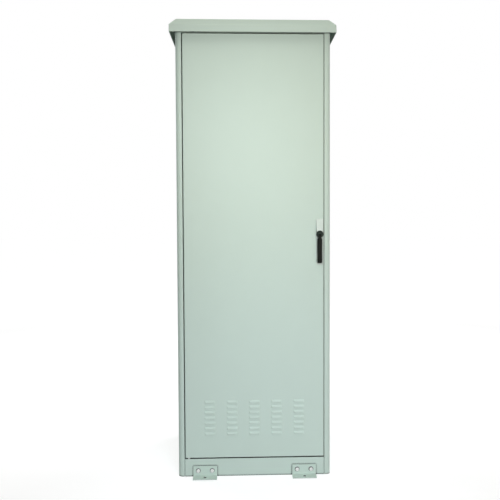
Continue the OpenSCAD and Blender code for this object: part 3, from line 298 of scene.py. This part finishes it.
def galvanised_sheet(name, colour, rough):
    """Galvanised sheet: crystal spangle in greys, each grain with its own gloss."""
    mat, tree, shader = principled(name, colour, rough, metallic=0.9)
    where = place(tree)
    rounded = soft_edges(tree, radius=0.8 * MM)
    grains = add(tree, "TexVoronoi", {"Scale": 85, "Randomness": 1.0})
    tree.links.new(where, grains.inputs["Vector"])
    grey = add(tree, "RGBToBW")
    tree.links.new(grains.outputs["Color"], grey.inputs["Color"])
    tone = grey.outputs["Val"]
    spangle = between(tree, tone, scaled(colour, 0.86), scaled(colour, 1.08))
    sheen = spread(tree, tone, low=rough - 0.08, high=rough + 0.08, from_low=0.2, from_high=0.8)
    fine = noise(tree, where, scale=500, detail=2)
    skin_grain = bump(tree, fine, strength=0.05, distance=0.1 * MM, normal=rounded)
    wire(tree, shader, spangle, sheen, skin_grain)
    return mat


def seal_rubber(name, colour, rough):
    """Foamed rubber: matt, with fine pores."""
    mat, tree, shader = principled(name, colour, rough)
    pores = noise(tree, place(tree), scale=1400, detail=3)
    speckled = between(tree, pores, scaled(colour, 0.7), scaled(colour, 1.4))
    rounded = soft_edges(tree, radius=1.0 * MM)
    pitted = bump(tree, pores, strength=0.3, distance=0.2 * MM, normal=rounded)
    wire(tree, shader, speckled, normal=pitted)
    return mat


def bare_copper(name, colour, rough):
    """Copper bar: drawn along its length, with darker tarnish in patches."""
    mat, tree, shader = principled(name, colour, rough, metallic=1.0)
    patches = noise(tree, place(tree), scale=45, detail=4)
    lines = noise(tree, place(tree, stretch=(0.03, 1, 1)), scale=900, detail=2)
    tarnish = spread(tree, patches, low=0.0, high=0.7, from_low=0.45, from_high=0.75)
    tarnished = between(tree, tarnish, colour, scaled(colour, 0.6))
    sheen = spread(tree, lines, low=rough - 0.08, high=rough + 0.12)
    rounded = soft_edges(tree, radius=0.6 * MM)
    drawn = bump(tree, lines, strength=0.08, distance=0.1 * MM, normal=rounded)
    wire(tree, shader, tarnished, sheen, drawn)
    return mat


def fibre_mat(name, colour, rough):
    """Filter mat: crossed fibres, pale, with painted shade in the hollows."""
    mat, tree, shader = principled(name, colour, rough)
    crossed = add(tree, "Math", operation="MAXIMUM")
    for socket, stretch in enumerate(((1, 1, 9), (9, 1, 1))):
        fibres = noise(tree, place(tree, stretch), scale=260, detail=4, rough=0.7)
        tree.links.new(fibres, crossed.inputs[socket])
    height = crossed.outputs[0]
    # Painted shade: the fibres' colour darkens where they lie low
    pale = between(tree, height, scaled(colour, 0.6), scaled(colour, 1.1))
    wire(tree, shader, pale, normal=bump(tree, height, strength=0.7, distance=0.8 * MM))
    return mat


# Finishes of the slots, each with its colour and roughness
PAINT = (0.610, 0.730, 0.651)
PAINT_ROUGH = 0.48
BLACK_ROUGH = 0.45
MATERIALS = {
    "paint": powder_coat("paint", PAINT, PAINT_ROUGH),
    "pan_paint": powder_coat("pan_paint", (0.70, 0.78, 0.72), 0.40),
    "sheet_steel": galvanised_sheet("sheet_steel", (0.36, 0.37, 0.38), 0.45),
    "zinc": plated_steel("zinc", (0.74, 0.75, 0.74), 0.30),
    "seal": seal_rubber("seal", (0.016, 0.016, 0.017), 0.82),
    "fan_plastic": moulded_plastic("fan_plastic", (0.014, 0.014, 0.015), 0.48),
    "nylon": moulded_plastic("nylon", (0.032, 0.034, 0.036), 0.50),
    "copper": bare_copper("copper", (0.86, 0.45, 0.28), 0.30),
    "filter": fibre_mat("filter", (0.66, 0.67, 0.62), 0.95),
}
# Very dark steel on the anchor holes' walls: painted shade in the holes
ANCHOR_HOLE_SHADE = plated_steel("anchor_hole_shade", (0.05, 0.055, 0.055), 0.6)
# Washers plated far darker than the bolts: painted shade round the bolt heads
SHADED_WASHER = plated_steel("shaded_washer_steel", (0.10, 0.11, 0.11), 0.5)


def shaded_gap_paint(name, **gaps):
    """The cabinet's paint with its own painted shade in the gaps."""
    return powder_coat(name, PAINT, PAINT_ROUGH, **gaps)


# Nodes with a finish of their own: painted shade lies deepest on ledges and under the eaves
HEADER_PAINT = shaded_gap_paint("header_paint", shade=0.05)
PLINTH_PAINT = shaded_gap_paint("plinth_paint", shade=0.03, window=(0.45, 0.95))
POST_PAINT = shaded_gap_paint("post_paint", shade=0.15, window=(0.42, 0.92))
OWN_FINISH = {
    **{"header_" + side: HEADER_PAINT for side in ENDS},
    **{"plinth_" + side: PLINTH_PAINT for side in SIDES},
    **{"post_" + corner: POST_PAINT for corner in CORNERS},
    # Painted shade under the roof's eaves, reaching 50 mm
    "roof_cap": shaded_gap_paint("roof_paint", reach=50 * MM, shade=0.08, window=(0.20, 0.80)),
    "door_skin": shaded_gap_paint("door_paint", window=(0.05, 0.50)),
    # The hub's black is paler than the lever's: painted light, for the light the head catches
    "handle_hub": moulded_plastic("hub_black_lit", (0.018, 0.028, 0.021), BLACK_ROUGH),
    "handle_lever": moulded_plastic("lever_black", (0.008, 0.0090, 0.0068), BLACK_ROUGH, gloss=0.07),
}


def finish_of(node):
    """A node's own finish, or its slot's."""
    return OWN_FINISH.get(node) or MATERIALS[SLOT_OF[node]]


def dress_nodes():
    """Gives every CAD node its finish."""
    for name, obj in NODES.items():
        obj.data.materials.clear()
        obj.data.materials.append(finish_of(name))


# Pieces that stand for CAD nodes
def piece(name, bm, node):
    """A finished mesh that rides its node's body and stands for that node."""
    mesh = bpy.data.meshes.new(name)
    bm.to_mesh(mesh)
    bm.free()
    obj = bpy.data.objects.new(name, mesh)
    bpy.context.scene.collection.objects.link(obj)
    mesh.materials.append(finish_of(node))
    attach(obj, BODY_OF[node])
    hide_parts(node)
    return obj


def node_mesh(node):
    """A working copy of a node's mesh, its corners joined."""
    bm = bmesh.new()
    bm.from_mesh(NODES[node].data)
    bmesh.ops.remove_doubles(bm, verts=bm.verts, dist=JOIN)
    return bm


def solids_of(node):
    """The corner points of every separate solid of a node."""
    bm = node_mesh(node)
    groups = []
    for first in bm.verts:
        if first.tag:
            continue
        first.tag = True
        waiting, group = [first], []
        while waiting:
            vert = waiting.pop()
            group.append(vert.co.copy())
            for edge in vert.link_edges:
                other = edge.other_vert(vert)
                if not other.tag:
                    other.tag = True
                    waiting.append(other)
        groups.append(group)
    bm.free()
    return groups


def fastener_frame(points):
    """A fastener's frame in mm (head at 0, Z to the tip, X to a corner of the head) and its length."""
    low = Vector([min(p[i] for p in points) for i in range(3)])
    high = Vector([max(p[i] for p in points) for i in range(3)])
    axis = max(range(3), key=lambda i: high[i] - low[i])
    middle = (low + high) / 2
    corners = {}
    for level in (low[axis], high[axis]):
        rim = [p - middle for p in points if abs(p[axis] - level) < END_BAND]
        for out in rim:
            out[axis] = 0
        corners[level] = max(rim, key=lambda out: round(out.length, 6))
    head = max(corners, key=lambda level: corners[level].length)
    z = Vector((0, 0, 0))
    z[axis] = 1 if head == low[axis] else -1
    x = corners[head].normalized()
    turn = Matrix((x, z.cross(x), z)).transposed().to_4x4()
    middle[axis] = head
    matrix = Matrix.Translation(middle) @ turn @ Matrix.Scale(MM, 4)
    return matrix, (high - low)[axis] / MM


def ring(radius, z):
    """A circle of points at a height."""
    angles = [2 * math.pi * k / TURN for k in range(TURN)]
    return [Vector((radius * math.cos(a), radius * math.sin(a), z)) for a in angles]


def hex_ring(corner, z, rise=0.0):
    """A hexagon outline. With rise, its corners lift off the plane as a turned chamfer cuts them."""
    flat = corner * math.cos(math.pi / 6)
    points = []
    for k in range(TURN):
        angle = 2 * math.pi * k / TURN
        radius = flat / math.cos(angle % (math.pi / 3) - math.pi / 6)
        lift = rise * (radius - HEX_FACE * flat)
        points.append(Vector((radius * math.cos(angle), radius * math.sin(angle), z + lift)))
    return points


def skin(bm, matrix, rings, finish=0):
    """Faces over rings of points along Z, closed at both ends, in the finish of that number."""
    rows = [[bm.verts.new(matrix @ point) for point in points] for points in rings]
    faces = [bm.faces.new(rows[0][::-1]), bm.faces.new(rows[-1])]
    for a, b in zip(rows, rows[1:]):
        for i in range(TURN):
            j = (i + 1) % TURN
            faces.append(bm.faces.new((a[i], a[j], b[j], b[i])))
    for face in faces:
        face.material_index = finish


def hex_body(bm, matrix, across, z0, z1, both_ends):
    """A hexagon head, chamfered at its top, or a nut, chamfered at both ends."""
    corner = across / 2
    face = HEX_FACE * corner * math.cos(math.pi / 6)
    rings = [ring(face, z0), hex_ring(corner, z0, CHAMFER)]
    if both_ends:
        rings += [hex_ring(corner, z1, -CHAMFER), ring(face, z1)]
    else:
        rings.append(hex_ring(corner, z1))
    skin(bm, matrix, rings)


def threaded_shank(bm, matrix, d, pitch, z0, z1):
    """A shank with one ridge for each turn of its thread, and a narrower tip."""
    crest = d / 2
    root = crest - THREAD_DEPTH * pitch
    rings = [ring(root, z0)]
    turns = int((z1 - z0) / pitch) - 1
    for k in range(turns):
        start = z0 + k * pitch
        rings += [ring(crest, start + CREST_START * pitch), ring(crest, start + CREST_END * pitch)]
        rings.append(ring(root, start + pitch))
    rings.append(ring(TIP * root, z1))
    skin(bm, matrix, rings)


def washer_disc(bm, matrix, outer, z0, z1):
    """A washer with rounded rims, in the second finish of its piece."""
    rim = WASHER_RIM * (z1 - z0)
    radius = outer / 2
    outline = [(radius - rim, z0), (radius, z0 + rim), (radius, z1 - rim), (radius - rim, z1)]
    skin(bm, matrix, [ring(r, z) for r, z in outline], finish=1)


def hex_bolts(node, d, pitch, washer=None, nut_at=None):
    """Hexagon bolts with turned chamfers and threads, with washers and nuts where the node has them."""
    bm = bmesh.new()
    head_h = HEX_HEAD_H * d
    for points in solids_of(node):
        matrix, length = fastener_frame(points)
        hex_body(bm, matrix, HEX_ACROSS * d, 0, head_h, both_ends=False)
        threaded_shank(bm, matrix, d, pitch, head_h, length)
        if washer:
            washer_disc(bm, matrix, washer[0], head_h, head_h + washer[1])
        if nut_at:
            hex_body(bm, matrix, HEX_ACROSS * d, nut_at, nut_at + HEX_NUT_H * d, both_ends=True)
    bolts = piece(node + "_turned", bm, node)
    bolts.data.materials.append(SHADED_WASHER)


def socket_screws(node, d, pitch, head_d, head_h, socket):
    """Round-headed screws with a hexagon socket."""
    bm = bmesh.new()
    for points in solids_of(node):
        matrix, length = fastener_frame(points)
        rings = [hex_ring(socket / 2, SOCKET_DEPTH * head_h), hex_ring(socket / 2, 0)]
        rings += [ring(share * head_d / 2, z * head_h) for share, z in DOME]
        skin(bm, matrix, rings)
        threaded_shank(bm, matrix, d, pitch, head_h, length)
    piece(node + "_turned", bm, node)


def make_fasteners():
    """Every bolt and screw, by its sizes in mm. A washer is its width and thickness."""
    hex_bolts("bracket_bolts", d=10, pitch=1.5, washer=(21, 2), nut_at=16)
    hex_bolts("roof_bolts", d=10, pitch=1.5)
    hex_bolts("rail_bolts", d=6, pitch=1.0)
    socket_screws("panel_screws", d=5, pitch=0.8, head_d=10, head_h=3, socket=3.4)
    socket_screws("lock_screws", d=4.1, pitch=0.7, head_d=8, head_h=2.5, socket=3.2)


def is_sharp(edge):
    """Whether an edge turns more than a rounded one does."""
    return edge.calc_face_angle(0) > SHARP


def bevelled(node, width, pick, name):
    """A copy of a node with the picked edges rounded over."""
    bm = node_mesh(node)
    bmesh.ops.dissolve_limit(bm, angle_limit=FLAT, verts=bm.verts, edges=bm.edges)
    edges = [edge for edge in bm.edges if len(edge.link_faces) == 2 and pick(edge)]
    bmesh.ops.bevel(bm, geom=edges, offset=width, segments=FOLD_STEPS, profile=ROUND,
                    affect="EDGES", clamp_overlap=True)
    return piece(name, bm, node)


def make_brackets():
    """Anchor brackets with broken edges. The anchor hole's wall is very dark steel, a painted shade in
    the hole.
    """
    for corner in CORNERS:
        node = "bracket_" + corner
        bracket = bevelled(node, BRACKET_EDGE, is_sharp, node + "_edged")
        bracket.data.materials.append(ANCHOR_HOLE_SHADE)
        low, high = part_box(node)
        centre = (low + high) / 2
        outward = 1 if centre.y > 0 else -1
        hole = Vector((centre.x, outward * ANCHOR_Y, 0))
        for face in bracket.data.polygons:
            offset = face.center - hole
            inside = math.hypot(offset.x, offset.y) < ANCHOR_R + JOIN
            if inside and abs(face.normal.z) < UPRIGHT:
                face.material_index = 1


def make_roof():
    """The roof cap with folded outer edges; the thin lower rim stays sharp."""
    low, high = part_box("roof_cap")

    def is_outer(point):
        """Whether a point is on the skirt's outside or on the flat top."""
        return max(abs(point.x), abs(point.y)) > high.x - OUTER or point.z > high.z - OUTER

    def outer_fold(edge):
        """Whether an edge is a sharp fold on the outside, above the rim."""
        ends = [vert.co for vert in edge.verts]
        rim = all(point.z < low.z + OUTER for point in ends)
        return all(is_outer(point) for point in ends) and not rim and is_sharp(edge)

    bevelled("roof_cap", ROOF_FOLD, outer_fold, "roof_cap_folded")


# Studio and camera
def white_to_viewer(tree):
    """1 for rays that show the stage directly, in a mirror or through glass, and 0 for light."""
    path = add(tree, "LightPath")
    shown = path.outputs["Is Camera Ray"]
    for ray in ("Is Glossy Ray", "Is Transmission Ray"):
        node = add(tree, "Math", operation="MAXIMUM")
        tree.links.new(shown, node.inputs[0])
        tree.links.new(path.outputs[ray], node.inputs[1])
        shown = node.outputs[0]
    return shown


def make_floor():
    """A pale floor that shows nearly white and keeps the cabinet's shadow."""
    half = FLOOR_SIZE / 2
    corners = [(-half, -half, 0), (half, -half, 0), (half, half, 0), (-half, half, 0)]
    mesh = bpy.data.meshes.new("floor")
    mesh.from_pydata(corners, [], [(0, 1, 2, 3)])
    floor = bpy.data.objects.new("floor", mesh)
    bpy.context.scene.collection.objects.link(floor)
    mat, tree, shader = principled("floor", FLOOR_COLOUR, 1.0, gloss=0.0)
    link = tree.links.new
    glow = add(tree, "Emission")
    both = add(tree, "AddShader")
    away = add(tree, "VectorMath", operation="LENGTH")
    link(place(tree), away.inputs[0])
    level = add(tree, "Math", operation="MULTIPLY")
    link(spread(tree, away.outputs["Value"], *FLOOR_GLOW, *GLOW_REACH), level.inputs[0])
    link(white_to_viewer(tree), level.inputs[1])
    link(level.outputs[0], glow.inputs["Strength"])
    link(shader.outputs[0], both.inputs[0])
    link(glow.outputs[0], both.inputs[1])
    link(both.outputs[0], tree.nodes["Material Output"].inputs["Surface"])
    mesh.materials.append(mat)


def make_world():
    """White behind the cabinet, and a plain soft light from all round."""
    world = bpy.data.worlds.new("studio")
    bpy.context.scene.world = world
    world.use_nodes = True
    tree = world.node_tree
    shown = between(tree, white_to_viewer(tree), (WORLD_LEVEL,) * 3, WHITE)
    tree.links.new(shown, tree.nodes["Background"].inputs["Color"])


def lamp(name, kind, at, aim, watts, colour):
    """A lamp of that kind at a place, turned toward its aim."""
    data = bpy.data.lights.new(name, kind)
    data.energy = watts
    data.color = colour
    obj = bpy.data.objects.new(name, data)
    obj.location = at
    obj.rotation_euler = (Vector(aim) - Vector(at)).to_track_quat("-Z", "Y").to_euler()
    obj.visible_camera = False
    obj.visible_glossy = name not in NO_GLARE
    bpy.context.scene.collection.objects.link(obj)
    return data


def make_lights():
    """The soft boxes all round and the soft spots on the door."""
    for name, at, aim, side, watts, colour in SOFT_BOXES:
        lamp(name, "AREA", at, aim, watts, colour).size = side
    for name, at, aim, cone, watts, colour in SPOTS:
        spot = lamp(name, "SPOT", at, aim, watts, colour)
        spot.spot_size = math.radians(cone)
        spot.spot_blend = SPOT_BLEND
        spot.shadow_soft_size = SPOT_RADIUS


def make_camera():
    """The photograph's camera: its lens, framing, place and turn."""
    data = bpy.data.cameras.new("camera")
    data.sensor_fit = "HORIZONTAL"
    data.sensor_width = SENSOR_MM
    data.lens = SENSOR_MM * FOCAL_PX / IMAGE_PX
    data.shift_x = (IMAGE_PX / 2 - CENTRE_PX[0]) / IMAGE_PX
    data.shift_y = (CENTRE_PX[1] - IMAGE_PX / 2) / IMAGE_PX
    camera = bpy.data.objects.new("camera", data)
    bpy.context.scene.collection.objects.link(camera)
    flat = math.cos(CAMERA_PITCH)
    ahead = (math.sin(CAMERA_YAW) * flat, math.cos(CAMERA_YAW) * flat, -math.sin(CAMERA_PITCH))
    forward = Vector(ahead)
    level = Vector((math.cos(CAMERA_YAW), -math.sin(CAMERA_YAW), 0))
    down = forward.cross(level)
    right = math.cos(CAMERA_ROLL) * level + math.sin(CAMERA_ROLL) * down
    up = math.sin(CAMERA_ROLL) * level - math.cos(CAMERA_ROLL) * down
    turn = Matrix((right, up, -forward)).transposed().to_4x4()
    camera.matrix_world = Matrix.Translation(CAMERA_AT) @ turn
    bpy.context.scene.camera = camera


bpy.context.scene.view_settings.view_transform = "Standard"
make_camera()
make_floor()
make_world()
make_lights()
dress_nodes()
make_fasteners()
make_brackets()
make_roof()
